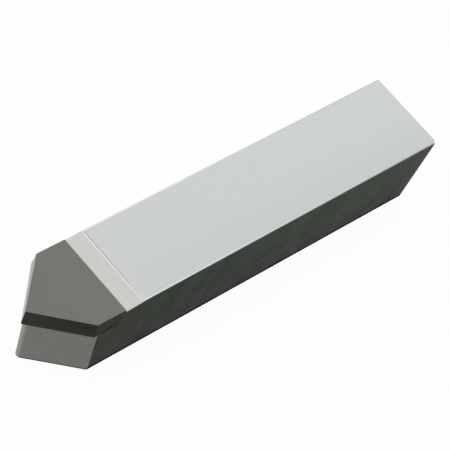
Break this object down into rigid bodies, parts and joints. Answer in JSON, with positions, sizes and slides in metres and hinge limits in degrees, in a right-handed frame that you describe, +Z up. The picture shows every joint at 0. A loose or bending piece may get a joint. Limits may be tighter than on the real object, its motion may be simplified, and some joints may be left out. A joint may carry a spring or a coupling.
{
  "type": "brazed carbide lathe tool",
  "caption": "Square steel turning tool shank with a symmetrical V nose and a brazed carbide tip for general turning, facing and chamfering.",
  "frame": {"origin": "middle of the underside of the whole tool, on the surface it rests on", "axes": "+X along the shank towards the cutting point, +Y to the left flank, +Z up out of the rake face"},
  "size_m": [0.1143, 0.019, 0.0193],
  "materials": {
    "shank_steel": "surface ground top and land, ground nose faces, dark oxide sides",
    "silver_braze": "satin, ground flush",
    "tungsten_carbide": "fine ground, dark grey"
  },
  "bodies": {
    "root": {"shank": "shank_steel", "braze_joint": "silver_braze", "carbide_tip": "tungsten_carbide"}
  },
  "joints": []
}
